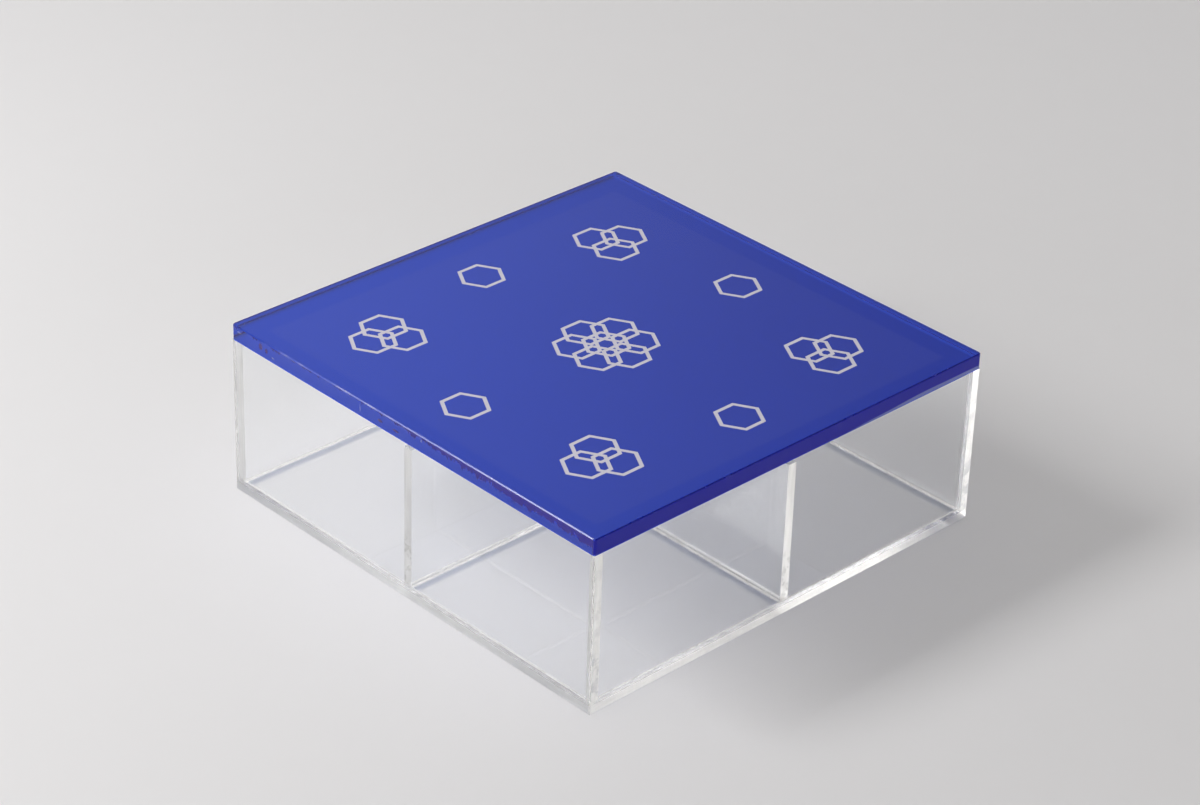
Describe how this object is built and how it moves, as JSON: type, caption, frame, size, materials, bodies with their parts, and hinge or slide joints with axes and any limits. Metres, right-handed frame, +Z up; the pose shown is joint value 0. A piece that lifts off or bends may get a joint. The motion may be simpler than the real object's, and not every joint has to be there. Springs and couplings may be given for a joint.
{
  "type": "divided lidded box",
  "caption": "Square box of clear acrylic sheet, divided into equal compartments by crossed dividers, with a loose flat blue lid printed with pale outlines.",
  "frame": {"origin": "centre of the base sheet's underside, on the surface that the box stands on", "axes": "+Z up out of the lid, +X to the right, +Y to the back; the front and back walls run the whole width"},
  "size_m": [0.15, 0.15, 0.055],
  "materials": {
    "clear_sheet": "clear cast acrylic, polished faces",
    "clear_lid_sheet": "clear cast acrylic, polished, a little worn at the corners",
    "blue_coat": "even cobalt blue coat seen through the clear sheet",
    "pale_print": "pale grey printed lines"
  },
  "bodies": {
    "box": {"base_plate": "clear_sheet", "front_wall": "clear_sheet", "back_wall": "clear_sheet", "left_wall": "clear_sheet", "right_wall": "clear_sheet", "divider_left_right": "clear_sheet", "divider_front_back": "clear_sheet"},
    "lid": {"lid_plate": "clear_lid_sheet", "lid_colour_coat": "blue_coat", "lid_line_print": "pale_print", "lid_locating_plate": "clear_lid_sheet"}
  },
  "joints": [
    {"name": "lid_lift", "type": "slide", "parent": "box", "child": "lid", "axis": [0, 0, 1], "range_m": [0, 0.06]}
  ]
}
